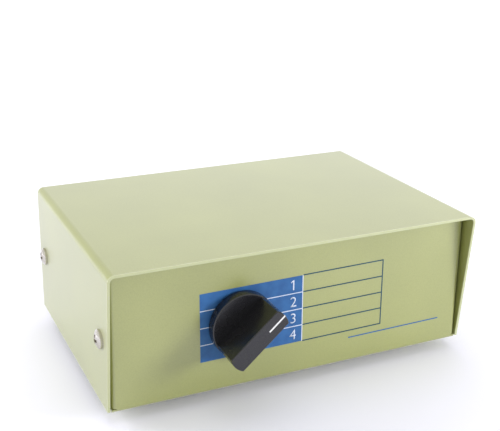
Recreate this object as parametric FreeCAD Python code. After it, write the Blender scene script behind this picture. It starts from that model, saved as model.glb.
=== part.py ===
import FreeCAD, Part
import math
import os

# A desk-top coaxial antenna switch: a folded steel case with a four-way selector in its front
# panel and five bayonet jacks in its rear panel, one common and one for each way.
# X runs to the right as the front panel is faced, Y to the rear, Z up. The origin is on the
# surface that the feet stand on, under the middle of the whole object. Sizes are in millimetres.

V = FreeCAD.Vector
RIGHT, REAR, UP = V(1, 0, 0), V(0, 1, 0), V(0, 0, 1)
AXIS_POINT = V(0, 0, 0)

# ---- case: a steel tray that is floor and both panels, under a steel cover
case_width = 152.0  # outside of the cover
case_height = 55.0  # roof above the cover's bottom edges
cover_lift = 0.8  # cover's bottom edges above the tray's underside
panel_span = 92.5  # outer face of the front panel to outer face of the rear panel
front_overhang = 5.5  # roof in front of the front panel
rear_overhang = 5.0  # cover behind the rear panel
cover_sheet = 1.0
cover_bend = 2.8  # outer radius of the roof's long edges
tray_sheet = 1.0
tray_bend = 1.4  # outer radius from the floor to the panels
return_bend = 1.8  # outer radius of the panels' upright edges
return_depth = 12.0  # depth of the flanges behind the upright edges
corner_relief = 0.2  # slit between the two bends at a corner
sheet_gap = 0.6  # tray to cover

# ---- case screws, one near each end of both sides
screw_head_r = 3.6
screw_head_height = 2.2
screw_head_rim = 0.9  # height of the head's upright edge
screw_shank_r = 1.75
screw_length = 8.0
screw_drop = 0.7  # below the middle of the case's height
front_screw_setback = 5.8  # behind the front panel's face
rear_screw_setback = 4.2  # in front of the rear panel's face
cover_hole_clearance = 0.25
thread_clearance = 0.03  # radial, between a thread and what it is cut in

# ---- rubber feet, pushed into the floor
foot_height = 4.8
foot_r = 6.5
foot_taper = 0.9  # smaller at the ground than at the floor, on the radius
foot_side_inset = 16.0
foot_end_inset = 22.0  # from each panel
foot_stem_r = 3.0
foot_bulb_r = 3.8
foot_stem_clearance = 0.05
foot_dimple_r = 2.6
foot_dimple_depth = 2.0
foot_edge = 0.4
foot_bulb_rise = 1.0  # widest place of the bulb above the floor
foot_bulb_height = 3.0

# ---- selector knob: a round skirt with a pointer bar
knob_offset = 24.3  # left of the case's middle
knob_drop = 1.6  # below the middle of the case's height
knob_height = 17.4  # pointer bar's face above the front panel
knob_gap = 0.8  # skirt above the front panel
skirt_r = 12.9
skirt_height = 4.6
skirt_draft = 0.1
skirt_edge = 0.35
skirt_wall = 2.0
bar_half_base = 3.8
bar_half_top = 3.6
bar_root = 1.0  # bar below the skirt's top
bar_end_step = 0.15  # middle of the bar's end inside the skirt's edge
bar_end_r = 7.0  # plan radius of the bar's ends
bar_fillet = 0.4
pointer_line_width = 1.0
pointer_line_depth = 0.35
pointer_line_start = 4.7  # from the axis
pointer_line_fall = 7.0  # down the bar's end
set_screw_r = 2.0
set_screw_length = 5.0
set_screw_point = 0.8
set_screw_socket = 2.0  # across the flats
set_screw_socket_depth = 2.0
set_screw_height = 10.5  # above the front panel

# ---- selector travel
positions = 4
index_step = 30.0  # degrees
pointer_angle = 41.3  # first position, above the horizontal

# ---- switch shaft and its bushing
shaft_r = 3.175
shaft_reach = 14.5  # in front of the front panel
shaft_flat = 2.4  # flat's distance from the axis
shaft_flat_length = 8.0
shaft_edge = 0.5
shaft_end_room = 0.5  # knob's bore past the shaft
shaft_fit = 0.03  # knob on the shaft
running_fit = 0.06  # shaft in the bushing
drive_r = 2.5  # rear end of the shaft, with two flats
drive_flats = 3.6
drive_fit = 0.04
drive_excess = 1.0  # past the common contact's finger
bushing_wall = 1.55
bushing_reach = 2.6  # in front of the front panel
bushing_flange_r = 7.0
bushing_flange = 1.6
hole_clearance = 0.15  # threaded parts in the panels
switch_nut_wall = 2.3
switch_nut_height = 1.8
lock_washer_width = 2.3
lock_washer_thickness = 0.5
lock_washer_teeth = 8
lock_washer_notch = 1.0
clip_r = 4.6
clip_thickness = 0.4
clip_groove_r = 2.6
clip_gap = 0.3  # clip to bushing

# ---- index mechanism behind the front panel
plate_thickness = 1.2
plate_r = 14.0
tie_circle_r = 16.5
tie_ear_r = 3.2
locating_circle_r = 10.4
locating_width = 2.2
locating_clearance = 0.4
locating_setback = 0.1  # tongue's end behind the panel's face
wheel_thickness = 1.6
wheel_r = 8.5
wheel_notch_r = 1.9
wheel_notch_depth = 0.7
wheel_gap = 0.8  # wheel to index plate
ball_r = 1.5
ball_gap = 0.3  # ball to the tops of the wheel's teeth
ball_cheek = 1.0
ball_fit = 0.05
spring_thickness = 0.4
spring_width = 1.6
spring_half_angle = 50.0
post_width = 2.0
post_turn = 5.0  # from the spring's end to its post
post_inset = 0.3  # from the plate's edge
lug_excess = 0.4  # lugs past the wheel
stop_arm_width = 3.0
stop_arm_r = 11.6
stop_lug_width = 2.4
stop_lug_inner_r = 9.8
stop_lug_outer_r = 12.2
stop_gap = 0.4
ball_angle = 180.0

# ---- contact wafer
spacer_length = 8.0
spacer_r = 2.5
tie_screw_r = 1.25
tie_screw_head_r = 2.3
tie_screw_head_height = 1.2
tie_screw_head_rim = 0.5
tie_screw_excess = 1.0
tie_nut_wall = 1.25
tie_nut_height = 2.0
tie_clearance = 0.1
wafer_thickness = 1.6
wafer_r = 15.0
rotor_r = 6.0
rotor_fit = 0.1
rotor_flange = 1.2  # wider than the rotor, on the radius
rotor_flange_thickness = 0.8
rotor_gap = 0.3
contact_sheet = 0.4
contact_width = 2.2
contact_eye_r = 0.6
contact_bend = 0.7
contact_gap = 0.3
contact_lug_r = 19.5
contact_step_r = 11.2
contact_tip_r = 7.9
common_tip_r = 4.6
contact_step = 1.0  # run over which a contact rises off the wafer
rivet_circle_r = 13.0
rivet_r = 0.8
rivet_fit = 0.05
tongue_r = 9.4
tongue_width = 3.0
ring_r = 6.9
ring_hole_r = 3.0

# ---- bayonet jacks in the rear panel
jack_length = 11.7  # mouth behind the rear panel's face
jack_side_margin = 25.6  # outer jacks to the case's sides
jack_row_margin = 12.5  # outer jacks to the case's roof and bottom edge
barrel_r = 4.8
barrel_edge = 0.3
mouth_r = 4.05
mouth_depth = 8.1
flange_step = 1.7  # flange wider than the barrel, on the radius
flange_thickness = 2.0
flange_edge = 0.5
bayonet_lug_r = 1.0
bayonet_lug_reach = 0.7  # out of the barrel
bayonet_lug_setback = 5.0  # behind the mouth
jack_thread_r = 4.7
jack_thread_length = 10.0
core_r = 3.3  # insulator inside the threaded end
core_fit = 0.02
core_setback = 0.5  # insulator inside the threaded end
core_collar = 1.0
nose_r = 2.4
nose_recess = 3.5  # insulator's nose behind the mouth
nose_bore_r = 1.7  # room for the socket's fingers to open
nose_bore_depth = 2.5
socket_r = 1.1
socket_bore_r = 0.7
socket_bore_depth = 6.0
socket_setback = 0.2  # inside the insulator's nose
socket_slit = 0.25
socket_slit_depth = 2.2
socket_slits = 2  # across the bore, for twice as many fingers
solder_cup_r = 1.4
solder_cup_length = 4.5
jack_nut_wall = 1.65
jack_nut_height = 2.4
tag_thickness = 0.5
tag_ring_width = 2.3
tag_width = 3.6
tag_reach = 7.0
tag_lift = 3.0
tag_bend = 1.0
tag_flat = 0.5  # flat run between ring and fold
tag_eye_r = 0.9

# ---- places that follow from the sizes above
overall_depth = knob_height + panel_span + jack_length
front_y = knob_height - overall_depth / 2  # outer face of the front panel
rear_y = front_y + panel_span  # outer face of the rear panel
cover_front_y = front_y - front_overhang
cover_rear_y = rear_y + rear_overhang
tray_bottom = foot_height
case_bottom = tray_bottom + cover_lift
case_top = case_bottom + case_height
case_middle = case_bottom + case_height / 2
tray_half = case_width / 2 - cover_sheet - sheet_gap
tray_top = case_top - cover_sheet - sheet_gap
bushing_r = shaft_r + bushing_wall
knob_ceiling = bushing_reach + clip_gap + clip_thickness + clip_gap
selector_travel = index_step * (positions - 1)
plate_front = -tray_sheet - bushing_flange
plate_rear = plate_front - plate_thickness
wheel_front = plate_rear - wheel_gap
wheel_middle = wheel_front - wheel_thickness / 2
ball_circle_r = wheel_r + ball_gap + ball_r
spring_r = ball_circle_r + ball_r + ball_fit
wafer_front = plate_rear - spacer_length
wafer_rear = wafer_front - wafer_thickness
rotor_rear = wafer_rear - rotor_gap
ring_rear = rotor_rear - contact_sheet
finger_level = ring_rear - contact_gap
drive_end = finger_level - contact_sheet - drive_excess
nose_tip = jack_length - nose_recess
jack_x = case_width / 2 - jack_side_margin
jack_rise = case_height / 2 - jack_row_margin


# ---- shop operations
def block(x_range, y_range, z_range):
    """A box between two limits on each axis."""
    low = V(x_range[0], y_range[0], z_range[0])
    size = V(x_range[1], y_range[1], z_range[1]) - low
    return Part.makeBox(size.x, size.y, size.z, low)


def rod(radius, z_range, centre=(0, 0)):
    """A round bar along Z."""
    foot = V(centre[0], centre[1], z_range[0])
    return Part.makeCylinder(radius, z_range[1] - z_range[0], foot)


def turned(outline):
    """A solid turned about Z from the (radius, height) corners of its half section."""
    corners = [V(radius, 0, height) for radius, height in outline]
    section = Part.Face(Part.makePolygon(corners + corners[:1]))
    return section.revolve(AXIS_POINT, UP, 360)


def hexagon(across_flats, z_range):
    """A six-sided bar along Z."""
    corner_r = across_flats / math.sqrt(3)
    corners = [polar(corner_r, 60 * k, z_range[0]) for k in range(7)]
    return Part.Face(Part.makePolygon(corners)).extrude(UP * (z_range[1] - z_range[0]))


def polar(radius, angle, height=0.0):
    """The point at a radius and an angle in degrees about Z."""
    turn = math.radians(angle)
    return V(radius * math.cos(turn), radius * math.sin(turn), height)


def turned_by(shape, angle):
    """A copy turned about Z by an angle in degrees."""
    copy = shape.copy()
    copy.rotate(AXIS_POINT, UP, angle)
    return copy


def rounded_path(points, radii):
    """Edges along an open path, its corners rounded by tangent arcs."""
    edges = []
    start = points[0]
    for before, corner, after, radius in zip(points, points[1:], points[2:], radii):
        arrive = (corner - before).normalize()
        leave = (after - corner).normalize()
        half_turn = arrive.getAngle(leave) / 2
        setback = radius * math.tan(half_turn)
        inward = (leave - arrive).normalize()
        arc_start = corner - arrive * setback
        arc_middle = corner + inward * (radius / math.cos(half_turn) - radius)
        arc_end = corner + leave * setback
        edges.append(Part.LineSegment(start, arc_start).toShape())
        edges.append(Part.Arc(arc_start, arc_middle, arc_end).toShape())
        start = arc_end
    edges.append(Part.LineSegment(start, points[-1]).toShape())
    return edges


def bent_sheet(points, normal, thickness, bend, push):
    """Folded sheet. One face follows the points, the other lies on their left as seen against
    the normal, and the strip is push wide. The bend is the outer radius of every fold."""
    runs = [(after - before).normalize() for before, after in zip(points, points[1:])]
    lefts = [normal.cross(run) for run in runs]
    mitres = [(a + b) * (1 / (1 + a.dot(b))) for a, b in zip(lefts, lefts[1:])]
    shifts = lefts[:1] + mitres + lefts[-1:]
    others = [point + shift * thickness for point, shift in zip(points, shifts)]
    folds = [normal.dot(a.cross(b)) > 0 for a, b in zip(runs, runs[1:])]
    near = [bend if leftward else bend - thickness for leftward in folds]
    far = [bend - thickness if leftward else bend for leftward in folds]
    ends = [
        Part.LineSegment(points[0], others[0]).toShape(),
        Part.LineSegment(points[-1], others[-1]).toShape(),
    ]
    edges = rounded_path(points, near) + rounded_path(others, far) + ends
    section = Part.Face(Part.Wire(Part.__sortEdges__(edges)))
    return section.extrude(push)


def hex_nut(bore_r, wall, height):
    """A nut that stands on Z = 0."""
    blank = hexagon(2 * (bore_r + wall), (0, height))
    return blank.cut(rod(bore_r, (0, height)))


def cross_recess(span, width, depth):
    """The tapered cross that a screwdriver fits, cut down from Z = 0."""
    wing = Part.Face(Part.makePolygon([
        V(-span / 2, -width / 2, 1), V(span / 2, -width / 2, 1), V(span / 2, -width / 2, 0),
        V(span / 5, -width / 2, -depth), V(-span / 5, -width / 2, -depth),
        V(-span / 2, -width / 2, 0), V(-span / 2, -width / 2, 1),
    ])).extrude(V(0, width, 0))
    return wing.fuse(turned_by(wing, 90))


def pan_screw(head_r, head_height, rim, shank_r, length):
    """A screw along Z. Its domed head is seated on Z = 0, its point is below."""
    crown = head_height - rim
    dome_r = (head_r ** 2 + crown ** 2) / (2 * crown)
    head = rod(head_r, (0, head_height))
    head = head.common(Part.makeSphere(dome_r, UP * (head_height - dome_r)))
    return head.fuse(turned([
        (0, -length), (0.6 * shank_r, -length), (shank_r, -length + 0.8 * shank_r), (shank_r, 0),
        (0, 0),
    ]))


def on_front(shape):
    """Places what is drawn as the front panel is faced: X right, Y up, Z out of the panel."""
    copy = shape.copy()
    copy.rotate(AXIS_POINT, RIGHT, 90)
    copy.translate(V(-knob_offset, front_y, case_middle - knob_drop))
    return copy


def on_rear(shape, place):
    """Places what is drawn with Z out of the rear panel and Y down, at an (x, z) on it."""
    copy = shape.copy()
    copy.rotate(AXIS_POINT, RIGHT, -90)
    copy.translate(V(place[0], rear_y, place[1]))
    return copy


def on_side(shape, side, y, z):
    """Places what is drawn with Z out of a side wall: side is -1 on the left, 1 on the right."""
    copy = shape.copy()
    copy.rotate(AXIS_POINT, REAR, 90 * side)
    copy.translate(V(side * case_width / 2, y, z))
    return copy


# ---- where the repeated pieces are
screw_z = case_middle - screw_drop
screw_places = {
    "front_left": (-1, front_y + front_screw_setback),
    "front_right": (1, front_y + front_screw_setback),
    "rear_left": (-1, rear_y - rear_screw_setback),
    "rear_right": (1, rear_y - rear_screw_setback),
}
foot_x = case_width / 2 - foot_side_inset
foot_places = {
    "front_left": (-foot_x, front_y + foot_end_inset),
    "front_right": (foot_x, front_y + foot_end_inset),
    "rear_left": (-foot_x, rear_y - foot_end_inset),
    "rear_right": (foot_x, rear_y - foot_end_inset),
}
# As the rear panel is faced, ways 1 and 3 are on its right and 2 and 4 on its left.
jack_places = {
    "common": (0.0, case_middle),
    "1": (-jack_x, case_middle + jack_rise),
    "2": (jack_x, case_middle + jack_rise),
    "3": (-jack_x, case_middle - jack_rise),
    "4": (jack_x, case_middle - jack_rise),
}
way_angles = [pointer_angle - index_step * way for way in range(positions)]
tie_angles = (90.0, 270.0)


# ---- case
def cover():
    """The roof and both sides, folded from one sheet. The front edges of the sides slope back
    from the roof's edge to the front panel's foot."""
    half = case_width / 2
    corners = [(-half, case_bottom), (-half, case_top), (half, case_top), (half, case_bottom)]
    points = [V(x, cover_front_y, z) for x, z in corners]
    depth = cover_rear_y - cover_front_y
    folded = bent_sheet(points, REAR, cover_sheet, cover_bend, REAR * depth)
    slope = Part.Face(Part.makePolygon([
        V(-case_width, cover_front_y - 1, case_top - cover_bend),
        V(-case_width, cover_front_y, case_top - cover_bend),
        V(-case_width, front_y, case_bottom),
        V(-case_width, cover_front_y - 1, case_bottom),
        V(-case_width, cover_front_y - 1, case_top - cover_bend),
    ])).extrude(RIGHT * 2 * case_width)
    holes = [
        on_side(rod(screw_shank_r + cover_hole_clearance, (-2 * cover_sheet, 1)), side, y, screw_z)
        for side, y in screw_places.values()
    ]
    return folded.cut([slope] + holes)


def tray():
    """The floor with the front and rear panels, folded from one sheet. Above a slit over the
    floor's fold, each panel's upright edges turn inwards into the flanges that take the case
    screws, and its upper corners are rounded to clear the cover's bends."""
    flat_half = tray_half - return_bend
    corners = [(front_y, tray_top), (front_y, tray_bottom), (rear_y, tray_bottom), (rear_y, tray_top)]
    points = [V(-tray_half, y, z) for y, z in corners]
    folded = bent_sheet(points, RIGHT, tray_sheet, tray_bend, RIGHT * 2 * tray_half)
    fold_top = tray_bottom + tray_bend
    return_z = fold_top + corner_relief
    sides = [
        block(x_range, (front_y, rear_y), (fold_top, tray_top))
        for x_range in ((-tray_half, -flat_half), (flat_half, tray_half))
    ]
    panels = []
    for face_y, inward in ((front_y, 1), (rear_y, -1)):
        flange_y = face_y + inward * return_depth
        half = tray_half * inward
        corners = [(-half, flange_y), (-half, face_y), (half, face_y), (half, flange_y)]
        points = [V(x, y, return_z) for x, y in corners]
        panels.append(bent_sheet(points, UP, tray_sheet, return_bend, UP * (tray_top - return_z)))
    blank = folded.cut(sides).fuse(panels).removeSplitter()
    room = block((-tray_half, tray_half), (front_y, rear_y), (tray_bottom, tray_top))
    roof_edges = [
        edge for edge in room.Edges
        if edge.CenterOfMass.z > tray_top - 0.01 and abs(edge.CenterOfMass.x) > tray_half - 0.01
    ]
    room = room.makeFillet(cover_bend - cover_sheet - sheet_gap, roof_edges)
    return blank.common(room).cut(tray_holes())


def tray_holes():
    """Tools for every hole in the tray."""
    through = (-2 * tray_sheet, tray_sheet)
    tapping = rod(screw_shank_r + thread_clearance, (-return_bend - tray_sheet - cover_sheet, 0))
    tools = [on_side(tapping, side, y, screw_z) for side, y in screw_places.values()]
    tools.append(on_front(rod(bushing_r + hole_clearance, through)))
    locating = rod(
        locating_width / 2 + locating_clearance, through, polar(locating_circle_r, 270)[:2]
    )
    tools.append(on_front(locating))
    for place in jack_places.values():
        tools.append(on_rear(rod(jack_thread_r + hole_clearance, through), place))
    stem_hole = rod(foot_stem_r + foot_stem_clearance, (tray_bottom - 1, tray_bottom + 2 * tray_sheet))
    for x, y in foot_places.values():
        tool = stem_hole.copy()
        tool.translate(V(x, y, 0))
        tools.append(tool)
    return tools


def case_screw():
    recess = cross_recess(1.15 * screw_head_r, 0.3 * screw_head_r, 0.85 * screw_head_height)
    recess.translate(UP * screw_head_height)
    screw = pan_screw(screw_head_r, screw_head_height, screw_head_rim, screw_shank_r, screw_length)
    return screw.cut(recess)


def foot():
    """A rubber foot with a dimple in its sole and a bulb that snaps through the floor. Z = 0 is
    the floor's underside."""
    sole = -foot_height
    sole_r = foot_r - foot_taper
    bulb_top = tray_sheet + foot_bulb_height
    return turned([
        (0, sole + foot_dimple_depth), (foot_dimple_r, sole + foot_dimple_depth),
        (foot_dimple_r, sole), (sole_r - foot_edge, sole), (sole_r, sole + foot_edge),
        (foot_r, 0), (foot_stem_r, 0), (foot_stem_r, tray_sheet),
        (foot_bulb_r, tray_sheet + foot_bulb_rise), (0.55 * foot_bulb_r, bulb_top), (0, bulb_top),
    ])


# ---- selector knob and shaft, drawn with the pointer along X
def bar_blank(reach, height):
    """The bar across the knob, its flanks leaning in to the face and its ends rounded in plan."""
    sections = []
    for half, z in ((bar_half_base, skirt_height - bar_root), (bar_half_top, height)):
        corner = reach - bar_end_r + math.sqrt(bar_end_r ** 2 - half ** 2)
        sections.append(Part.Wire([
            Part.LineSegment(V(-corner, -half, z), V(corner, -half, z)).toShape(),
            Part.Arc(V(corner, -half, z), V(reach, 0, z), V(corner, half, z)).toShape(),
            Part.LineSegment(V(corner, half, z), V(-corner, half, z)).toShape(),
            Part.Arc(V(-corner, half, z), V(-reach, 0, z), V(-corner, -half, z)).toShape(),
        ]))
    return Part.makeLoft(sections, True, True)


def pointer_bar():
    bar = bar_blank(skirt_r - bar_end_step, knob_height)
    rounded = [edge for edge in bar.Edges if edge.CenterOfMass.z > skirt_height]
    return bar.makeFillet(bar_fillet, rounded)


def pointer_line():
    """White filling in the groove that runs along the bar's face and down its end."""
    track = block(
        (pointer_line_start, skirt_r), (-pointer_line_width / 2, pointer_line_width / 2),
        (knob_height - pointer_line_fall, knob_height),
    )
    depth = pointer_line_depth
    core = bar_blank(skirt_r - bar_end_step - depth, knob_height - depth)
    return pointer_bar().common(track).cut(core)


def knob():
    """A moulded skirted knob, hollow underneath to clear the bushing's nut."""
    skirt_top_r = skirt_r - skirt_draft
    skirt = turned([
        (0, knob_gap), (skirt_r, knob_gap), (skirt_top_r, skirt_height - skirt_edge),
        (skirt_top_r - skirt_edge, skirt_height), (0, skirt_height),
    ])
    hollow = rod(skirt_r - skirt_wall, (0, knob_ceiling))
    bore = rod(shaft_r + shaft_fit, (0, shaft_reach + shaft_end_room))
    screw_hole = rod(set_screw_r + thread_clearance, (0, skirt_r))
    screw_hole.rotate(AXIS_POINT, REAR, -90)
    screw_hole.translate(UP * set_screw_height)
    return skirt.fuse(pointer_bar()).cut([pointer_line(), hollow, bore, screw_hole])


def set_screw():
    """A grub screw with a socket. It bears on the shaft's flat, from the bar's blunt end."""
    end = shaft_flat + set_screw_length
    screw = turned([
        (0, shaft_flat), (set_screw_r - set_screw_point, shaft_flat),
        (set_screw_r, shaft_flat + set_screw_point),
        (set_screw_r, end), (0, end),
    ])
    screw = screw.cut(hexagon(set_screw_socket, (end - set_screw_socket_depth, end + 1)))
    screw.rotate(AXIS_POINT, REAR, -90)
    screw.translate(UP * set_screw_height)
    return screw


def drive_section(clearance, z_range):
    """The shaft's rear end, round with two flats, which turns the wheel and the rotor."""
    flats = drive_flats / 2 + clearance
    return rod(drive_r + clearance, z_range).common(
        block((-drive_r - 1, drive_r + 1), (-flats, flats), z_range)
    )


def shaft():
    body = turned([
        (0, wheel_front), (shaft_r, wheel_front), (shaft_r, shaft_reach - shaft_edge),
        (shaft_r - shaft_edge, shaft_reach), (0, shaft_reach),
    ])
    flat = block(
        (-2 * shaft_r, -shaft_flat), (-shaft_r, shaft_r), (shaft_reach - shaft_flat_length, shaft_reach)
    )
    clip_z = bushing_reach + clip_gap
    groove = rod(2 * shaft_r, (clip_z, clip_z + clip_thickness)).cut(
        rod(clip_groove_r, (clip_z, clip_z + clip_thickness))
    )
    return body.cut([flat, groove]).fuse(drive_section(0, (drive_end, wheel_front)))


def shaft_clip():
    """The spring clip in the shaft's groove, open on one side."""
    clip_z = bushing_reach + clip_gap
    z_range = (clip_z, clip_z + clip_thickness)
    mouth = block((0, 2 * clip_r), (-0.85 * clip_groove_r, 0.85 * clip_groove_r), z_range)
    return rod(clip_r, z_range).cut([rod(clip_groove_r, z_range), mouth])


# ---- bushing and what clamps it to the front panel
def bushing():
    """The threaded bushing, with its flange behind the panel and its spigot in the plate."""
    bore_r = shaft_r + running_fit
    return turned([
        (bore_r, plate_rear), (bushing_r, plate_rear), (bushing_r, plate_front),
        (bushing_flange_r, plate_front), (bushing_flange_r, -tray_sheet), (bushing_r, -tray_sheet),
        (bushing_r, bushing_reach), (bore_r, bushing_reach),
    ])


def lock_washer():
    """A washer with inner teeth, on the panel's face."""
    inner_r = bushing_r + thread_clearance
    ring = rod(inner_r + lock_washer_width, (0, lock_washer_thickness))
    pitch = 360 / lock_washer_teeth
    notch = block(
        (0, inner_r + 0.4 * lock_washer_width), (-lock_washer_notch / 2, lock_washer_notch / 2),
        (0, lock_washer_thickness),
    )
    notches = [turned_by(notch, pitch * k) for k in range(lock_washer_teeth)]
    return ring.cut([rod(inner_r, (0, lock_washer_thickness))] + notches)


def switch_nut():
    nut = hex_nut(bushing_r + thread_clearance, switch_nut_wall, switch_nut_height)
    nut.translate(UP * lock_washer_thickness)
    return nut


# ---- index mechanism
def eared_disc(radius, z_range):
    """A disc with an ear for each tie screw."""
    disc = rod(radius, z_range)
    ears = []
    for angle in tie_angles:
        centre = polar(tie_circle_r, angle)
        ears.append(rod(tie_ear_r, z_range, centre[:2]))
        neck = block((0, tie_circle_r), (-tie_ear_r, tie_ear_r), z_range)
        ears.append(turned_by(neck, angle))
    return disc.fuse(ears).removeSplitter()


def tie_holes(z_range):
    return [
        rod(tie_screw_r + tie_clearance, z_range, polar(tie_circle_r, angle)[:2])
        for angle in tie_angles
    ]


def index_plate():
    """The stamped plate behind the bushing, with the lugs that it carries: two stops for the
    wheel's arm, cheeks for the ball, posts for the spring and a tongue that finds the panel."""
    lug_back = wheel_front - wheel_thickness - lug_excess
    z_lug = (lug_back, plate_rear)
    plate = eared_disc(plate_r, (plate_rear, plate_front))
    stop_margin = math.degrees(math.asin(
        (stop_arm_width / 2 + stop_lug_width / 2 + stop_gap) / stop_lug_inner_r
    ))
    stop = block(
        (stop_lug_inner_r, stop_lug_outer_r), (-stop_lug_width / 2, stop_lug_width / 2), z_lug
    )
    cheek_y = ball_r + ball_fit
    cheek_x = (wheel_r + 2 * ball_gap, spring_r - ball_gap)
    post_x = (spring_r + spring_thickness + ball_fit, plate_r - post_inset)
    post = block(post_x, (-post_width / 2, post_width / 2), z_lug)
    lugs = [
        turned_by(stop, pointer_angle + stop_margin),
        turned_by(stop, pointer_angle - selector_travel - stop_margin),
        turned_by(block(cheek_x, (cheek_y, cheek_y + ball_cheek), z_lug), ball_angle),
        turned_by(block(cheek_x, (-cheek_y - ball_cheek, -cheek_y), z_lug), ball_angle),
        turned_by(post, ball_angle - spring_half_angle + post_turn),
        turned_by(post, ball_angle + spring_half_angle - post_turn),
    ]
    tongue = block(
        (-locating_width / 2, locating_width / 2),
        (-locating_circle_r - locating_width / 4, -locating_circle_r + locating_width / 4),
        (plate_front, -locating_setback),
    )
    bore = rod(bushing_r, (plate_rear - 1, plate_front + 1))
    return plate.fuse(lugs + [tongue]).cut([bore] + tie_holes((plate_rear, plate_front)))


def index_wheel():
    """The toothed wheel: one notch for each step of the index, and the arm that meets the
    stops. It is drawn where it stands in the first position."""
    z_range = (wheel_front - wheel_thickness, wheel_front)
    notch_circle_r = wheel_r - wheel_notch_depth + wheel_notch_r
    notch_count = round(360 / index_step)
    notches = [
        rod(wheel_notch_r, z_range, polar(notch_circle_r, ball_angle + index_step * k)[:2])
        for k in range(notch_count)
    ]
    arm = block((drive_r, stop_arm_r), (-stop_arm_width / 2, stop_arm_width / 2), z_range)
    wheel = rod(wheel_r, z_range).cut(notches).fuse(turned_by(arm, pointer_angle))
    return wheel.removeSplitter().cut(turned_by(drive_section(drive_fit, z_range), pointer_angle))


def index_ball():
    return Part.makeSphere(ball_r, polar(ball_circle_r, ball_angle, wheel_middle))


def index_spring():
    """The leaf that presses the ball inwards, bowed about the shaft between its two posts."""
    z_range = (wheel_middle - spring_width / 2, wheel_middle + spring_width / 2)
    ring = rod(spring_r + spring_thickness, z_range).cut(rod(spring_r, z_range))
    reach = 2 * spring_r
    sector = Part.Face(Part.makePolygon([
        V(0, 0, z_range[0]), polar(reach, ball_angle - spring_half_angle, z_range[0]),
        polar(reach, ball_angle, z_range[0]), polar(reach, ball_angle + spring_half_angle, z_range[0]),
        V(0, 0, z_range[0]),
    ])).extrude(UP * spring_width)
    return ring.common(sector)


# ---- contact wafer
def spacers():
    z_range = (wafer_front, plate_rear)
    tubes = [
        rod(spacer_r, z_range, polar(tie_circle_r, angle)[:2]).cut(tie_holes(z_range))
        for angle in tie_angles
    ]
    return Part.makeCompound(tubes)


def tie_screws():
    """Screws that hold plate, spacers and wafer together, their heads behind the front panel."""
    length = plate_front - (wafer_rear - tie_nut_height - tie_screw_excess)
    screw = pan_screw(
        tie_screw_head_r, tie_screw_head_height, tie_screw_head_rim, tie_screw_r, length
    )
    placed = []
    for angle in tie_angles:
        copy = screw.copy()
        copy.translate(polar(tie_circle_r, angle, plate_front))
        placed.append(copy)
    return Part.makeCompound(placed)


def tie_nuts():
    nut = hex_nut(tie_screw_r + thread_clearance, tie_nut_wall, tie_nut_height)
    placed = []
    for angle in tie_angles:
        copy = nut.copy()
        copy.translate(polar(tie_circle_r, angle, wafer_rear - tie_nut_height))
        placed.append(copy)
    return Part.makeCompound(placed)


def contact_angles():
    """Each way's contact is where the pointer stands for it. The common one is opposite."""
    return way_angles + [pointer_angle - selector_travel / 2 + 180]


def wafer():
    """The insulating board that carries the fixed contacts."""
    z_range = (wafer_rear, wafer_front)
    rivet_holes = [
        rod(rivet_r + rivet_fit, z_range, polar(rivet_circle_r, angle)[:2])
        for angle in contact_angles()
    ]
    bore = rod(rotor_r + rotor_fit, z_range)
    return eared_disc(wafer_r, z_range).cut([bore] + tie_holes(z_range) + rivet_holes)


def wafer_contact(tip_r):
    """A riveted contact: solder lug outside, spring finger over the rotor inside."""
    points = [
        V(contact_lug_r, -contact_width / 2, wafer_rear),
        V(contact_step_r, -contact_width / 2, wafer_rear),
        V(contact_step_r - contact_step, -contact_width / 2, finger_level),
        V(tip_r, -contact_width / 2, finger_level),
    ]
    strip = bent_sheet(points, V(0, -1, 0), contact_sheet, contact_bend, V(0, contact_width, 0))
    eye_x = contact_lug_r - contact_width / 2
    eye = rod(contact_eye_r, (wafer_rear - 1, wafer_rear + 1), (eye_x, 0))
    rivet = rod(rivet_r, (wafer_rear - contact_sheet, wafer_front), (rivet_circle_r, 0))
    return strip.fuse(rivet).cut(eye)


def wafer_contacts():
    tips = [contact_tip_r] * positions + [common_tip_r]
    return Part.makeCompound([
        turned_by(wafer_contact(tip_r), angle) for tip_r, angle in zip(tips, contact_angles())
    ])


def rotor():
    """The insulating hub that turns in the wafer, held in it by its flange and its contact."""
    flange_rear = wafer_front + rotor_gap
    hub = turned([
        (0, rotor_rear), (rotor_r, rotor_rear), (rotor_r, flange_rear),
        (rotor_r + rotor_flange, flange_rear),
        (rotor_r + rotor_flange, flange_rear + rotor_flange_thickness),
        (0, flange_rear + rotor_flange_thickness),
    ])
    bore = drive_section(drive_fit, (rotor_rear - 1, flange_rear + rotor_flange_thickness + 1))
    return hub.cut(bore)


def rotor_contact():
    """The ring on the rotor, with the tongue that reaches the fixed contacts."""
    z_range = (ring_rear, rotor_rear)
    tongue = block((0, tongue_r), (-tongue_width / 2, tongue_width / 2), z_range)
    return rod(ring_r, z_range).fuse(tongue).removeSplitter().cut(rod(ring_hole_r, z_range))


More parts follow.
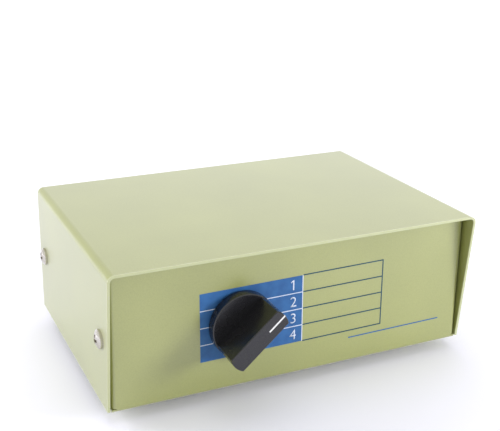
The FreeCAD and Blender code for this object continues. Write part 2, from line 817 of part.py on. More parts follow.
# ---- bayonet jacks, drawn with the mouth up Z and the panel's face at Z = 0
def jack_shell():
    """Flange, barrel and threaded end turned in one piece, with a bayonet lug on each side."""
    seat = jack_length - mouth_depth
    flange_r = barrel_r + flange_step
    body = turned([
        (core_r + core_fit, -jack_thread_length), (jack_thread_r, -jack_thread_length),
        (jack_thread_r, 0), (flange_r, 0), (flange_r, flange_thickness - flange_edge),
        (flange_r - flange_edge, flange_thickness), (barrel_r, flange_thickness),
        (barrel_r, jack_length - barrel_edge), (barrel_r - barrel_edge, jack_length),
        (mouth_r, jack_length), (mouth_r, seat), (core_r + core_fit, seat),
    ])
    lug_z = jack_length - bayonet_lug_setback
    tip_r = barrel_r + bayonet_lug_reach
    lug_bar = rod(bayonet_lug_r, (-tip_r, tip_r))
    lug_bar.rotate(AXIS_POINT, RIGHT, 90)
    lug_bar.translate(UP * lug_z)
    lugs = lug_bar.cut(rod((barrel_r + mouth_r) / 2, (seat, jack_length)))
    return body.fuse(lugs).removeSplitter()


def jack_insulator():
    """White insulator: a core through the shell, a collar on its seat and a nose that is
    bored wider round the socket's fingers."""
    seat = jack_length - mouth_depth
    core_rear = core_setback - jack_thread_length
    nose_floor = nose_tip - nose_bore_depth
    return turned([
        (socket_r + core_fit, core_rear), (core_r, core_rear), (core_r, seat),
        (mouth_r - core_fit, seat), (mouth_r - core_fit, seat + core_collar),
        (nose_r, seat + core_collar), (nose_r, nose_tip), (nose_bore_r, nose_tip),
        (nose_bore_r, nose_floor), (socket_r + core_fit, nose_floor),
    ])


def jack_socket():
    """Centre contact: a bored socket in the nose, slit into spring fingers, and an open solder
    cup behind the core."""
    tip = nose_tip - socket_setback
    cup_front = core_setback - jack_thread_length
    cup_rear = cup_front - solder_cup_length
    body = turned([
        (0, cup_rear), (solder_cup_r, cup_rear), (solder_cup_r, cup_front), (socket_r, cup_front),
        (socket_r, tip), (socket_bore_r, tip), (socket_bore_r, tip - socket_bore_depth),
        (0, tip - socket_bore_depth),
    ])
    cup_hole = rod(0.7 * solder_cup_r, (cup_rear - 1, cup_rear + 0.7 * solder_cup_length))
    cup_side = block(
        (-2 * solder_cup_r, 2 * solder_cup_r), (-2 * solder_cup_r, 0),
        (cup_rear - 1, cup_rear + 0.5 * solder_cup_length),
    )
    slit = block(
        (-2 * socket_r, 2 * socket_r), (-socket_slit / 2, socket_slit / 2),
        (tip - socket_slit_depth, tip + 1),
    )
    slits = [turned_by(slit, 180 / socket_slits * (k + 0.5)) for k in range(socket_slits)]
    return body.cut([cup_hole, cup_side] + slits)


def jack_tag():
    """The earth tag under the jack's nut: a ring with a solder ear that leans off the panel."""
    inner_r = jack_thread_r + thread_clearance
    front, rear = -tray_sheet, -tray_sheet - tag_thickness
    ring = rod(inner_r + tag_ring_width, (rear, front))
    fold_r = inner_r + tag_ring_width + tag_flat
    points = [
        V(-tag_width / 2, inner_r, front), V(-tag_width / 2, fold_r, front),
        V(-tag_width / 2, inner_r + tag_reach, front - tag_lift),
    ]
    ear = bent_sheet(points, V(-1, 0, 0), tag_thickness, tag_bend, RIGHT * tag_width)
    eye = rod(tag_eye_r, (-4 * tag_lift, 0), (0, inner_r + tag_reach - 2 * tag_eye_r))
    return ring.fuse(ear).removeSplitter().cut([eye, rod(inner_r, (2 * rear, 0))])


def jack_nut():
    nut = hex_nut(jack_thread_r + thread_clearance, jack_nut_wall, jack_nut_height)
    nut.translate(UP * (-tray_sheet - tag_thickness - jack_nut_height))
    return nut


# ---- every piece in its place
def case_nodes():
    nodes = {"cover": cover(), "tray": tray()}
    for name, (side, y) in screw_places.items():
        nodes["case_screw_" + name] = on_side(case_screw(), side, y, screw_z)
    for name, (x, y) in foot_places.items():
        piece = foot()
        piece.translate(V(x, y, tray_bottom))
        nodes["foot_" + name] = piece
    return nodes


def switch_nodes():
    turning = {
        "knob": knob(),
        "pointer_line": pointer_line(),
        "set_screw": set_screw(),
        "shaft": shaft(),
        "shaft_clip": shaft_clip(),
        "rotor": rotor(),
        "rotor_contact": rotor_contact(),
    }
    nodes = {name: on_front(turned_by(shape, pointer_angle)) for name, shape in turning.items()}
    nodes["index_wheel"] = on_front(index_wheel())
    fixed = {
        "bushing": bushing(),
        "lock_washer": lock_washer(),
        "switch_nut": switch_nut(),
        "index_plate": index_plate(),
        "index_ball": index_ball(),
        "index_spring": index_spring(),
        "spacers": spacers(),
        "tie_screws": tie_screws(),
        "tie_nuts": tie_nuts(),
        "wafer": wafer(),
        "wafer_contacts": wafer_contacts(),
    }
    nodes.update({name: on_front(shape) for name, shape in fixed.items()})
    return nodes


def jack_nodes():
    """The ear of each earth tag points to the middle of the case's height."""
    nodes = {}
    for name, place in jack_places.items():
        tag_turn = 180 if place[1] < case_middle else 0
        nodes["jack_shell_" + name] = on_rear(jack_shell(), place)
        nodes["jack_insulator_" + name] = on_rear(jack_insulator(), place)
        nodes["jack_socket_" + name] = on_rear(jack_socket(), place)
        nodes["jack_tag_" + name] = on_rear(turned_by(jack_tag(), tag_turn), place)
        nodes["jack_nut_" + name] = on_rear(jack_nut(), place)
    return nodes


os.makedirs("parts", exist_ok=True)
for make_nodes in (case_nodes, switch_nodes, jack_nodes):
    for node, solid in make_nodes().items():
        solid.exportStep("parts/" + node + ".step")
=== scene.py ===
import math

import bmesh
import bpy
from mathutils import Matrix, Vector


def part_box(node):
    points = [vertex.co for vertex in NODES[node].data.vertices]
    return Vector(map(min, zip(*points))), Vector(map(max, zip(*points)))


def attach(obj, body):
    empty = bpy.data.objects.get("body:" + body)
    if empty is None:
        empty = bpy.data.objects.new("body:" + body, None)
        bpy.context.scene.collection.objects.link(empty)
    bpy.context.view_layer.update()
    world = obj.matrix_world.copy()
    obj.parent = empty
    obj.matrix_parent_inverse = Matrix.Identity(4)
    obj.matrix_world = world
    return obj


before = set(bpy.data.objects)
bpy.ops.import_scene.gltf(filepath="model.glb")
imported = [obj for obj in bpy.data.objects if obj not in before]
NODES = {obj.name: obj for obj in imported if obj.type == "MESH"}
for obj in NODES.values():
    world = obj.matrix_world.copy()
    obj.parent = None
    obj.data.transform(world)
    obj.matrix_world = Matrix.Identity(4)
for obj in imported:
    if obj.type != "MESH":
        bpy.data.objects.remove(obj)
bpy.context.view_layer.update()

# A desk-top coaxial antenna switch: pale green enamelled case, black pointer knob on a printed
# front panel, five nickelled bayonet jacks on the rear panel. Lengths are in metres, apart from
# the prints', which are drawn in millimetres.

MM = 0.001
JACKS = ("common", "1", "2", "3", "4")
CORNERS = ("front_left", "front_right", "rear_left", "rear_right")
X_AXIS, Y_AXIS = 0, 1
COVER_BEND = 2.8 * MM  # outer radius of the roof's long edges
POINTER_ANGLE = math.radians(41.3)  # above the horizontal, at rest


def middle(node):
    """The middle of a node's box."""
    low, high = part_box(node)
    return (low + high) / 2


front_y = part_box("tray")[0].y  # outer face of the front panel
rear_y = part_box("tray")[1].y  # outer face of the rear panel
cover_low, cover_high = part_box("cover")
knob_axis = middle("shaft")


# ---- colours and nodes
def srgb(code):
    """The linear colour of an sRGB hex code."""
    channels = [int(code[k : k + 2], 16) / 255 for k in (0, 2, 4)]
    linear = [c / 12.92 if c <= 0.04045 else ((c + 0.055) / 1.055) ** 2.4 for c in channels]
    return (*linear, 1.0)


def add_node(tree, kind, inputs=None, **settings):
    """Adds a node with its settings. An input is given a value, or a socket to be linked from."""
    node = tree.nodes.new(kind)
    for name, value in settings.items():
        setattr(node, name, value)
    for name, source in (inputs or {}).items():
        if isinstance(source, bpy.types.NodeSocket):
            tree.links.new(source, node.inputs[name])
        else:
            node.inputs[name].default_value = source
    return node


def new_finish(name, **values):
    """A material with a Principled shader, the shader's own sockets set to the values."""
    material = bpy.data.materials.new(name)
    material.use_nodes = True
    tree = material.node_tree
    shader = tree.nodes["Principled BSDF"]
    for socket, value in values.items():
        shader.inputs[socket.replace("_", " ")].default_value = value
    place = add_node(tree, "ShaderNodeTexCoord").outputs["Object"]
    return material, tree, shader, place


def grain(tree, place, size, detail=3.0, stretch=None):
    """Noise whose patches are about the size across, drawn out along the axes by stretch."""
    if stretch:
        stretched = add_node(tree, "ShaderNodeMapping", {"Vector": place, "Scale": stretch})
        place = stretched.outputs["Vector"]
    inputs = {"Vector": place, "Scale": 1 / size, "Detail": detail}
    return add_node(tree, "ShaderNodeTexNoise", inputs).outputs["Fac"]


def lathe_marks(tree, place, centre, axis, pitch):
    """Fine rings round an axis through the centre, on end faces and on round sides."""
    offset = add_node(
        tree, "ShaderNodeVectorMath", {0: place, 1: centre}, operation="SUBTRACT"
    ).outputs["Vector"]
    across = [float(k != axis) for k in range(3)]
    flat = add_node(tree, "ShaderNodeVectorMath", {0: offset, 1: across}, operation="MULTIPLY")
    radius = add_node(
        tree, "ShaderNodeVectorMath", {0: flat.outputs["Vector"]}, operation="LENGTH"
    ).outputs["Value"]
    along = add_node(tree, "ShaderNodeSeparateXYZ", {"Vector": offset}).outputs[axis]
    track = add_node(tree, "ShaderNodeMath", {0: radius, 1: along}, operation="ADD")
    inputs = {"W": track.outputs["Value"], "Scale": 1 / pitch, "Detail": 2.0}
    return add_node(tree, "ShaderNodeTexNoise", inputs, noise_dimensions="1D").outputs["Fac"]


def fade(tree, value, start, end):
    """Falls from 1 to 0 as the value goes from the start to the end."""
    inputs = {"Value": value, "From Min": start, "From Max": end, "To Min": 1.0, "To Max": 0.0}
    return add_node(tree, "ShaderNodeMapRange", inputs).outputs["Result"]


def blend_colours(tree, factor, low, high, span=(0.35, 0.65)):
    """Runs a colour from one hex code to another as the factor crosses the span."""
    ramp = add_node(tree, "ShaderNodeValToRGB", {"Fac": factor})
    for element, position, code in zip(ramp.color_ramp.elements, span, (low, high)):
        element.position = position
        element.color = srgb(code)
    return ramp.outputs["Color"]


def tint(tree, shader, colour):
    """Gives the surface its colour."""
    tree.links.new(colour, shader.inputs["Base Color"])


def roughen(tree, shader, factor, low, high):
    """Runs the roughness between two values with the factor."""
    spread = add_node(tree, "ShaderNodeMapRange", {"Value": factor, "To Min": low, "To Max": high})
    tree.links.new(spread.outputs["Result"], shader.inputs["Roughness"])


def relief(tree, shader, *layers):
    """Raises the surface by height patterns, each to a depth."""
    inputs = {"Strength": 1.0}
    for height, depth in layers:
        inputs.update({"Height": height, "Distance": depth})
        inputs["Normal"] = add_node(tree, "ShaderNodeBump", inputs).outputs["Normal"]
    tree.links.new(inputs["Normal"], shader.inputs["Normal"])


# ---- finishes
def sheet_edge(tree, place):
    """Distance of a point of the cover from the sheet's nearest cut edge. The front edges of
    the sides slope back from the roof's edge to the front panel's foot."""
    y, z = add_node(tree, "ShaderNodeSeparateXYZ", {"Vector": place}).outputs[1:3]
    inputs = {
        "Value": z, "From Min": cover_low.z, "From Max": cover_high.z - COVER_BEND,
        "To Min": front_y, "To Max": cover_low.y,
    }
    slope = add_node(tree, "ShaderNodeMapRange", inputs).outputs["Result"]
    front, rear, foot = (
        add_node(tree, "ShaderNodeMath", {0: first, 1: second}, operation="SUBTRACT").outputs[0]
        for first, second in ((y, slope), (cover_high.y, y), (z, cover_low.z))
    )
    nearest = front
    for edge in (rear, foot):
        nearest = add_node(
            tree, "ShaderNodeMath", {0: nearest, 1: edge}, operation="MINIMUM"
        ).outputs["Value"]
    return nearest


def semi_gloss_enamel(name, cut_edges):
    """Pale green stoved enamel on steel. Sprayed in one coat, so it has a fine orange peel and
    a slight drift of tone. Its clear skin and a faint chalky bloom pale the roof and sides
    where they are seen aslant. On the cover it is painted paler along the cut edges, partly
    for the thinner enamel there and partly as a painted highlight on the edges' rounding, and
    it is worn through in a few spots."""
    material, tree, shader, place = new_finish(
        name, IOR=1.45, Coat_Weight=1.0, Coat_IOR=1.9, Coat_Roughness=0.3,
        Sheen_Weight=0.5, Sheen_Roughness=0.3,
    )
    drift = grain(tree, place, 38 * MM, detail=2.0)
    green = blend_colours(tree, drift, "92974d", "9ca156", span=(0.3, 0.7))
    # pigment flecks, drawn 0.5 mm across because the real ones are too fine to show
    specks = grain(tree, place, 0.5 * MM, detail=2.0)
    flecks = blend_colours(tree, specks, "f3f3ee", "ffffff", span=(0.3, 0.6))
    colour = add_node(
        tree, "ShaderNodeMix", {"Factor": 1.0, "A": green, "B": flecks},
        data_type="RGBA", blend_type="MULTIPLY",
    ).outputs["Result"]
    # painted paler along the cut edges: partly thinner enamel, partly a painted highlight on the
    # edges' rounding; worn to bare steel in a few spots
    if cut_edges:
        wobble = grain(tree, place, 2.5 * MM)
        distance = add_node(
            tree, "ShaderNodeMath", {0: wobble, 1: 0.5 * MM, 2: sheet_edge(tree, place)},
            operation="MULTIPLY_ADD",
        ).outputs["Value"]
        # the pale edge strip's mask: thinner enamel there, and a painted edge highlight
        thin = fade(tree, distance, 0.4 * MM, 0.9 * MM)
        spots = grain(tree, place, 3.5 * MM, detail=4.0)
        worn_and_highlit_edge = blend_colours(tree, spots, "b4b982", "b0ad9c", span=(0.66, 0.71))
        colour = add_node(
            tree, "ShaderNodeMix", {"Factor": thin, "A": colour, "B": worn_and_highlit_edge}, data_type="RGBA"
        ).outputs["Result"]
    tint(tree, shader, colour)
    roughen(tree, shader, drift, 0.42, 0.5)
    peel = grain(tree, place, 1.6 * MM, detail=1.0)
    waviness = grain(tree, place, 14 * MM, detail=1.0)
    relief(tree, shader, (peel, 0.012 * MM), (waviness, 0.02 * MM))
    return material


def turned_nickel(name, centre, axis, low, high):
    """Bright nickel over turned brass or steel: the tool's rings show through the plate as
    fine bands of shine, and the plate is a little yellowed."""
    material, tree, shader, place = new_finish(name, Metallic=1.0)
    # rings of 0.13 mm, coarser than a finishing cut, so that they show
    rings = lathe_marks(tree, place, centre, axis, 0.13 * MM)
    tarnish = grain(tree, place, 3 * MM)
    tint(tree, shader, blend_colours(tree, tarnish, low, high))
    roughen(tree, shader, rings, 0.14, 0.32)
    relief(tree, shader, (rings, 0.003 * MM))
    return material


def metal(name, low, high, patch, roughness):
    """Plain or plated metal, clean in patches and dull in others, with handling scratches."""
    material, tree, shader, place = new_finish(name, Metallic=1.0)
    tarnish = grain(tree, place, patch)
    scratches = grain(tree, place, 0.25 * MM, detail=2.0, stretch=(1.0, 0.12, 0.3))
    tint(tree, shader, blend_colours(tree, tarnish, low, high))
    roughen(tree, shader, tarnish, *roughness)
    relief(tree, shader, (scratches, 0.002 * MM))
    return material


def black_phenolic():
    """Phenolic moulding, pressed hot in a polished steel mould: near black and satin, with the
    wood-flour filler just showing, fine scuffs, and patches that fingers have polished."""
    material, tree, shader, place = new_finish("black_phenolic", IOR=1.6)
    filler = grain(tree, place, 0.35 * MM)
    handled = grain(tree, place, 6 * MM, detail=2.0)
    scuffs = grain(tree, place, 0.5 * MM, stretch=(0.15, 1.0, 0.6))
    tint(tree, shader, blend_colours(tree, filler, "111113", "1c1c1f"))
    roughen(tree, shader, handled, 0.18, 0.34)
    relief(tree, shader, (filler, 0.004 * MM), (scuffs, 0.005 * MM))
    return material


def moulded_rubber():
    """Black rubber, matt from its mould and dusty grey in places."""
    material, tree, shader, place = new_finish("moulded_rubber", IOR=1.52)
    dust = grain(tree, place, 2.2 * MM, detail=4.0)
    tint(tree, shader, blend_colours(tree, dust, "19191a", "2b2b2a", span=(0.4, 0.7)))
    roughen(tree, shader, dust, 0.68, 0.85)
    relief(tree, shader, (grain(tree, place, 0.4 * MM), 0.01 * MM))
    return material


def fluoropolymer():
    """White PTFE, turned from bar: waxy, a little translucent, with faint cutting rings."""
    material, tree, shader, place = new_finish(
        "fluoropolymer", IOR=1.38, Subsurface_Weight=0.15, Subsurface_Scale=0.5 * MM
    )
    clouds = grain(tree, place, 1.5 * MM)
    rings = grain(tree, place, 0.2 * MM, detail=2.0, stretch=(1.0, 6.0, 1.0))
    tint(tree, shader, blend_colours(tree, clouds, "cfc9bb", "dedad0"))
    roughen(tree, shader, clouds, 0.38, 0.48)
    relief(tree, shader, (rings, 0.004 * MM))
    return material


def paper_laminate():
    """Brown paper and resin board, punched: streaked along the paper's fibres, with a slight
    gloss from the press."""
    material, tree, shader, place = new_finish("paper_laminate", IOR=1.55)
    fibres = grain(tree, place, 0.3 * MM, detail=4.0, stretch=(0.12, 1.0, 1.0))
    tint(tree, shader, blend_colours(tree, fibres, "5a3518", "7d5330"))
    roughen(tree, shader, fibres, 0.38, 0.52)
    relief(tree, shader, (fibres, 0.006 * MM))
    return material


def screen_ink(name, low, high, roughness):
    """Screen-printed ink: one thin film, a little uneven in tone where the mesh has left less
    of it, and with the mesh's faint grain."""
    material, tree, shader, place = new_finish(name, IOR=1.38)
    film = grain(tree, place, 4 * MM)
    # the mesh's own 0.1 mm grain is too fine to show, so it is drawn at 0.3 mm
    mesh_grain = grain(tree, place, 0.3 * MM, detail=1.0)
    tint(tree, shader, blend_colours(tree, film, low, high))
    roughen(tree, shader, mesh_grain, roughness, roughness + 0.12)
    relief(tree, shader, (mesh_grain, 0.003 * MM))
    return material


def filling_paint():
    """White paint wiped into the pointer's groove: full along the middle, wiped thin and dark
    along the groove's two sides, and greyed a little by handling."""
    material, tree, shader, place = new_finish("filling_paint", IOR=1.5)
    grime = grain(tree, place, 1.2 * MM, detail=4.0)
    white = blend_colours(tree, grime, "dcdcd6", "f2f2ee", span=(0.3, 0.55))
    wiped = blend_colours(tree, grime, "202022", "4a4a49")
    offset = add_node(
        tree, "ShaderNodeVectorMath", {0: place, 1: knob_axis}, operation="SUBTRACT"
    ).outputs["Vector"]
    across = (-math.sin(POINTER_ANGLE), 0, math.cos(POINTER_ANGLE))
    off_middle = add_node(
        tree, "ShaderNodeVectorMath", {0: offset, 1: across}, operation="DOT_PRODUCT"
    ).outputs["Value"]
    to_side = add_node(tree, "ShaderNodeMath", {0: off_middle}, operation="ABSOLUTE")
    ragged = add_node(
        tree, "ShaderNodeMath", {0: grime, 1: 0.1 * MM, 2: to_side.outputs["Value"]},
        operation="MULTIPLY_ADD",
    ).outputs["Value"]
    full = fade(tree, ragged, 0.32 * MM, 0.4 * MM)
    colour = add_node(
        tree, "ShaderNodeMix", {"Factor": full, "A": wiped, "B": white}, data_type="RGBA"
    ).outputs["Result"]
    tint(tree, shader, colour)
    roughen(tree, shader, grime, 0.4, 0.55)
    relief(tree, shader, (grain(tree, place, 0.5 * MM), 0.01 * MM))
    return material


def dress(finish, *nodes):
    """Puts a finish in every material slot of the nodes."""
    for name in nodes:
        for slot in NODES[name].material_slots:
            slot.material = finish


dress(semi_gloss_enamel("cover_enamel", cut_edges=True), "cover")
dress(semi_gloss_enamel("tray_enamel", cut_edges=False), "tray")
for corner in CORNERS:
    screw = f"case_screw_{corner}"
    dress(turned_nickel(f"nickel_{screw}", middle(screw), X_AXIS, "beb9ae", "cfcbc2"), screw)
dress(moulded_rubber(), *(f"foot_{corner}" for corner in CORNERS))

dress(black_phenolic(), "knob")
dress(filling_paint(), "pointer_line")

fluoropolymer_white = fluoropolymer()
# silver plate: pale and bright, browned in patches by tarnish
silver_plate = metal("silver_plate", "a89c8a", "dcd8d0", patch=1.2 * MM, roughness=(0.18, 0.3))
# tinned by dipping: grey-white, blotchy and half dull
tinned_brass = metal("tinned_brass", "b5b3aa", "d2d0c8", patch=2.5 * MM, roughness=(0.28, 0.5))
for jack in JACKS:
    shell = f"jack_shell_{jack}"
    nickel = turned_nickel(f"nickel_{shell}", middle(shell), Y_AXIS, "c0b6a4", "d6cdbe")
    dress(nickel, shell, f"jack_nut_{jack}")
    dress(fluoropolymer_white, f"jack_insulator_{jack}")
    dress(silver_plate, f"jack_socket_{jack}")
    dress(tinned_brass, f"jack_tag_{jack}")

# bare brass: warm, with brown tarnish where it was handled
plain_brass = metal("plain_brass", "a5813f", "cfae66", patch=3 * MM, roughness=(0.25, 0.42))
dress(plain_brass, "bushing", "wafer_contacts", "rotor_contact")
dress(paper_laminate(), "wafer", "rotor")
# bright zinc: cool grey, with a faint straw cast from its passivation
zinc_plate = metal("zinc_plate", "aeb3b9", "c8c5b8", patch=4 * MM, roughness=(0.26, 0.4))
dress(
    zinc_plate, "set_screw", "shaft", "shaft_clip", "index_wheel", "lock_washer", "switch_nut",
    "index_plate", "index_ball", "index_spring", "spacers", "tie_screws", "tie_nuts",
)


# ---- prints, drawn flat in millimetres and then laid on a panel
INK_FILM = 0.03  # thickness
FRONT_FACE = Matrix.Rotation(math.radians(90), 4, "X") @ Matrix.Scale(MM, 4)
REAR_FACE = Matrix.Rotation(math.radians(180), 4, "Z") @ FRONT_FACE

LABEL_CORNER = (-40.26, 17.82)  # lower left corner, x and z on the front panel
LABEL_TILT = math.radians(0.58)  # the label was printed a little askew
LABEL_WIDTH = 77.7
BLOCK_WIDTH = 42.2  # the part of the label that is a blue block
ROWS = 4
ROW = 6.89
LABEL_HEIGHT = ROWS * ROW
BLOCK_RULE = 0.34  # breadth of the white rules on the block
OUTLINE = 0.5  # breadth of the outline beside it
BUSHING_ROOM = 5.2  # radius left bare round the bushing
LOCATING_DROP = 10.4  # from the shaft down to the hole that takes the index plate's tongue
LOCATING_ROOM = 1.6  # radius left bare round that hole
NUMBER_X = 38.1  # middle of the numbers' column, from the block's left edge
PANEL_RULE = (62.9, -3.4, 105.6, -2.9)  # left, foot, right and top, from the label's corner

# each rear print's middle is given as x and z on the case
REAR_NUMBERS = (("2", 41.6, 36.5), ("4", 41.6, 29.8), ("1", -41.9, 35.3), ("3", -41.9, 28.6))
ARROW_MIDDLE = (-0.3, 47.8)

# weight thickens the font's own strokes; stroke is the breadth of the drawn ones
FRONT_FIGURE = {"height": 4.1, "stroke": 0.5, "weight": -0.005}
REAR_FIGURE = {"height": 4.8, "stroke": 0.9, "weight": 0.028}
ARROW = {"length": 9.8, "height": 4.2, "stroke": 0.9, "head": 3.0}


def draw_bars(*bars):
    """Flat bars, each from its lower left corner to its upper right one."""
    drawing = bmesh.new()
    for x0, y0, x1, y1 in bars:
        centre = Matrix.Translation(((x0 + x1) / 2, (y0 + y1) / 2, 0))
        size = Matrix.Diagonal((x1 - x0, y1 - y0, 1, 1))
        bmesh.ops.create_grid(drawing, x_segments=1, y_segments=1, size=0.5, matrix=centre @ size)
    return drawing


def draw_pierced_block(width, height, holes):
    """A flat block with round holes, each given by its centre and radius."""
    drawing = bmesh.new()
    corners = ((0, 0), (width, 0), (width, height), (0, height))
    outline = [drawing.verts.new((x, y, 0)) for x, y in corners]
    for k, corner in enumerate(outline):
        drawing.edges.new((outline[k - 1], corner))
    for x, y, radius in holes:
        place = Matrix.Translation((x, y, 0))
        bmesh.ops.create_circle(drawing, segments=48, radius=radius, matrix=place)
    bmesh.ops.triangle_fill(drawing, use_beauty=True, edges=drawing.edges[:])
    return drawing


def draw_outline(points):
    """A flat shape inside a closed outline."""
    drawing = bmesh.new()
    drawing.faces.new([drawing.verts.new((x, y, 0)) for x, y in points])
    drawing.normal_update()
    bmesh.ops.triangulate(drawing, faces=drawing.faces)
    return drawing


def draw_one(height, stroke):
    """A figure 1 with a flag at its top that slopes down to the left, centred."""
    edge = stroke / 2
    top = height / 2
    shoulder = -0.4 * edge
    tip_x = -edge - 0.2 * height
    tip_y = 0.68 * top
    root_y = 0.9 * top
    depth = 0.8 * stroke
    return draw_outline((
        (edge, -top), (edge, top), (shoulder, top), (tip_x, tip_y),
        (tip_x, tip_y - depth), (-edge, root_y - depth), (-edge, -top),
    ))


def draw_number(number, height, weight):
    """A figure from the font, of the height and centred."""
    text = bpy.data.curves.new("figure", "FONT")
    text.body = number
    text.offset = weight
    holder = bpy.data.objects.new("figure", text)
    mesh = bpy.data.meshes.new_from_object(holder)
    drawing = bmesh.new()
    drawing.from_mesh(mesh)
    bpy.data.objects.remove(holder)
    bpy.data.curves.remove(text)
    bpy.data.meshes.remove(mesh)
    bmesh.ops.remove_doubles(drawing, verts=drawing.verts, dist=1e-4)
    points = [vertex.co for vertex in drawing.verts]
    low, high = (Vector(map(furthest, *points)) for furthest in (min, max))
    size = Matrix.Scale(height / (high.y - low.y), 4)
    drawing.transform(size @ Matrix.Translation((low + high) / -2))
    return drawing


def draw_figure(number, height, stroke, weight):
    """A number from 1 to 4. The 1 is drawn, because the font's own has no flag."""
    if number == "1":
        return draw_one(height, stroke)
    return draw_number(number, height, weight)


def draw_arrow(length, height, stroke, head):
    """A two-way arrow, centred."""
    neck = length / 2 - head
    right = [(0, stroke / 2), (neck, stroke / 2), (neck, height / 2), (length / 2, 0)]
    half = right + [(x, -y) for x, y in reversed(right[:-1])]
    return draw_outline(half + [(-x, -y) for x, y in half[1:-1]])


def add_object(name, data):
    """A new object in the scene, at the origin."""
    added = bpy.data.objects.new(name, data)
    bpy.context.scene.collection.objects.link(added)
    return added


def add_shape(name, shape, finish):
    """A new object with the shape as its mesh and the finish on it."""
    mesh = bpy.data.meshes.new(name)
    shape.to_mesh(mesh)
    shape.free()
    mesh.materials.append(finish)
    return add_object(name, mesh)


def lay_print(name, drawing, place, ink):
    """Gives a drawing the thickness of an ink film and lays it on its panel."""
    raised = bmesh.ops.extrude_face_region(drawing, geom=drawing.faces[:], use_keep_orig=True)
    upper = [part for part in raised["geom"] if isinstance(part, bmesh.types.BMVert)]
    bmesh.ops.translate(drawing, vec=(0, 0, INK_FILM), verts=upper)
    bmesh.ops.recalc_face_normals(drawing, faces=drawing.faces)
    drawing.transform(place)
    piece = add_shape(name, drawing, ink)
    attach(piece, "case")


blue_ink = screen_ink("blue_ink", "315f93", "376a9f", 0.42)
white_ink = screen_ink("white_ink", "ccd6e2", "dde5ee", 0.42)
slate_ink = screen_ink("slate_ink", "1e4354", "28505e", 0.42)
black_ink = screen_ink("black_ink", "0e0e10", "161618", 0.5)


def on_label(layer):
    """Place of the front label's drawings. Layer 1 lies on the blue block's ink."""
    corner = (LABEL_CORNER[0] * MM, front_y - layer * INK_FILM * MM, LABEL_CORNER[1] * MM)
    return Matrix.Translation(corner) @ Matrix.Rotation(-LABEL_TILT, 4, "Y") @ FRONT_FACE


def print_front_label():
    """A blue block with four numbered rows, an outlined column of blanks beside it, and a thin
    blue rule below them to the right."""
    shaft = on_label(0).inverted() @ Vector((knob_axis.x, front_y, knob_axis.z))
    holes = [
        (shaft.x, shaft.y, BUSHING_ROOM), (shaft.x, shaft.y - LOCATING_DROP, LOCATING_ROOM)
    ]
    block = draw_pierced_block(BLOCK_WIDTH, LABEL_HEIGHT, holes)
    lay_print("label_block", block, on_label(0), blue_ink)

    half = BLOCK_RULE / 2
    edge = BLOCK_WIDTH - BLOCK_RULE
    rules = [(0, k * ROW - half, edge, k * ROW + half) for k in (1, 3)]
    # the middle rule stops on each side of the bushing
    rules.append((0, 2 * ROW - half, shaft.x - BUSHING_ROOM, 2 * ROW + half))
    rules.append((shaft.x + BUSHING_ROOM, 2 * ROW - half, edge, 2 * ROW + half))
    rules.append((edge, 0, BLOCK_WIDTH, LABEL_HEIGHT))
    lay_print("label_rules", draw_bars(*rules), on_label(1), white_ink)

    for k in range(ROWS):
        place = on_label(1) @ Matrix.Translation((NUMBER_X, (ROWS - k - 0.5) * ROW, 0))
        number = draw_figure(str(k + 1), **FRONT_FIGURE)
        lay_print(f"label_number_{k + 1}", number, place, white_ink)

    half = OUTLINE / 2
    edge = LABEL_WIDTH - OUTLINE
    outline = [(BLOCK_WIDTH, k * ROW - half, LABEL_WIDTH, k * ROW + half) for k in range(ROWS + 1)]
    outline += [(edge, k * ROW + half, LABEL_WIDTH, (k + 1) * ROW - half) for k in range(ROWS)]
    lay_print("label_outline", draw_bars(*outline), on_label(0), slate_ink)

    lay_print("panel_rule", draw_bars(PANEL_RULE), on_label(0), blue_ink)


def on_rear(x, z):
    """Place of a rear print, by its middle."""
    return Matrix.Translation((x * MM, rear_y, z * MM)) @ REAR_FACE


def print_rear_panel():
    """Bold black numbers beside the ways' jacks, and a two-way arrow over the common jack."""
    for number, x, z in REAR_NUMBERS:
        drawing = draw_figure(number, **REAR_FIGURE)
        lay_print(f"rear_number_{number}", drawing, on_rear(x, z), black_ink)
    arrow = draw_arrow(**ARROW)
    lay_print("common_arrow", arrow, on_rear(*ARROW_MIDDLE), black_ink)


print_front_label()
print_rear_panel()


# ---- camera, floor and light
CASE_MIDDLE = (0, 0, 0.03)
FLOOR_REACH = 4.0  # from the middle to each edge
FLOOR_GAP = 0.1 * MM  # below the feet, so that their soles don't share its plane
FADE_START, FADE_END = 0.4, 1.6  # from the middle: the paper goes over into white between them

# linear colours, with the paper's far one about 1 / ROOM_LIGHT so that it is seen as white
PAPER_TONE = (0.85, 0.85, 0.85, 1.0)
PAPER_SEEN = (0.97, 0.965, 1.0, 1.0)
PAPER_FAR = (1.61, 1.61, 1.61, 1.0)
ROOM_LIGHT = 0.62
DAYLIGHT = (0.97, 0.97, 1.12)


def aim_camera():
    """The camera stands in front of the case, left of it and above, and looks down at it."""
    place = Vector((-0.1544, -0.3263, 0.1866))
    heading = math.radians(24.694)
    dip = math.radians(-18.326)
    roll = math.radians(0.607)
    ahead = Vector((
        math.sin(heading) * math.cos(dip), math.cos(heading) * math.cos(dip), math.sin(dip)
    ))
    level = ahead.cross(Vector((0, 0, 1))).normalized()
    upright = level.cross(ahead)
    right = level * math.cos(roll) + upright * math.sin(roll)
    top = upright * math.cos(roll) - level * math.sin(roll)
    lens = bpy.data.cameras.new("camera")
    lens.lens = 67.013
    lens.sensor_width = 36.0
    lens.shift_x = 0.0166
    lens.shift_y = -0.0544
    lens.clip_end = 20.0
    camera = add_object("camera", lens)
    turn = Matrix((right, top, -ahead)).transposed().to_4x4()
    camera.matrix_world = Matrix.Translation(place) @ turn
    bpy.context.scene.camera = camera


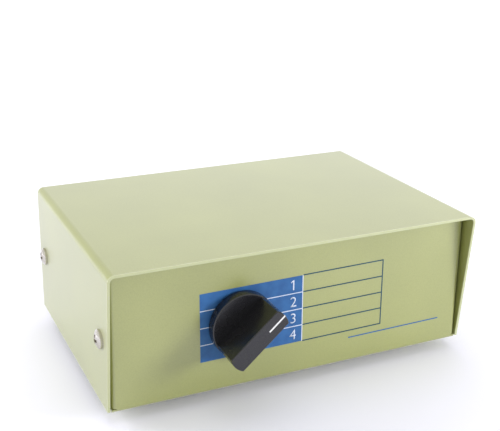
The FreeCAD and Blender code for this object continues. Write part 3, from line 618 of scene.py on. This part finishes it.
def background_rays(tree):
    """1 for the rays that see the white background: camera, mirror and glass rays."""
    rays = add_node(tree, "ShaderNodeLightPath").outputs
    seen = rays["Is Camera Ray"]
    for kind in ("Is Glossy Ray", "Is Transmission Ray"):
        seen = add_node(
            tree, "ShaderNodeMath", {0: seen, 1: rays[kind]}, operation="MAXIMUM"
        ).outputs["Value"]
    return seen


def lay_floor():
    """White paper that the camera sees brighter than it lights the object, so that it goes
    over into the white background and keeps the object's shadow."""
    material, tree, shader, place = new_finish("white_paper")
    tree.nodes.remove(shader)
    distance = add_node(tree, "ShaderNodeVectorMath", {0: place}, operation="LENGTH")
    far = fade(tree, distance.outputs["Value"], FADE_END, FADE_START)
    seen = add_node(
        tree, "ShaderNodeMix", {"Factor": far, "A": PAPER_SEEN, "B": PAPER_FAR}, data_type="RGBA"
    ).outputs["Result"]
    tone = add_node(
        tree, "ShaderNodeMix", {"Factor": background_rays(tree), "A": PAPER_TONE, "B": seen},
        data_type="RGBA",
    ).outputs["Result"]
    paper = add_node(tree, "ShaderNodeBsdfDiffuse", {"Color": tone}).outputs["BSDF"]
    tree.links.new(paper, tree.nodes["Material Output"].inputs["Surface"])

    sheet = bmesh.new()
    below = Matrix.Translation((0, 0, -FLOOR_GAP))
    bmesh.ops.create_grid(sheet, x_segments=1, y_segments=1, size=FLOOR_REACH, matrix=below)
    floor = add_shape("floor", sheet, material)


def light_room():
    """A white room, seen at full strength and lighting the object at less."""
    world = bpy.data.worlds.new("white room")
    world.use_nodes = True
    tree = world.node_tree
    backdrop = tree.nodes["Background"]
    inputs = {"Value": background_rays(tree), "To Min": ROOM_LIGHT, "To Max": 1.0}
    strength = add_node(tree, "ShaderNodeMapRange", inputs).outputs["Result"]
    tree.links.new(strength, backdrop.inputs["Strength"])
    backdrop.inputs["Color"].default_value = (1.0, 1.0, 1.0, 1.0)
    bpy.context.scene.world = world


def hang_lamp(name, place, target, size, power):
    """A square softbox, left out of reflections so that it burns no surface out."""
    lamp = bpy.data.lights.new(name, "AREA")
    lamp.shape = "SQUARE"
    lamp.size = size
    lamp.energy = power
    lamp.color = DAYLIGHT
    holder = add_object(name, lamp)
    holder.visible_glossy = False
    turn = (Vector(target) - Vector(place)).to_track_quat("-Z", "Y").to_matrix().to_4x4()
    holder.matrix_world = Matrix.Translation(place) @ turn


bpy.context.scene.view_settings.view_transform = "Standard"

aim_camera()
lay_floor()
light_room()
hang_lamp("front_right_softbox", (0.54, -0.46, 0.2), (0.03, 0, 0.03), size=0.2, power=3.7)
hang_lamp("back_left_softbox", (-1.25, 0.95, 0.6), CASE_MIDDLE, size=0.9, power=24.0)
hang_lamp("back_right_softbox", (0.95, 1.5, 0.75), CASE_MIDDLE, size=1.6, power=7.5)
hang_lamp("top_softbox", (0.1, 0.1, 1.6), CASE_MIDDLE, size=1.2, power=5.0)
bpy.context.view_layer.update()
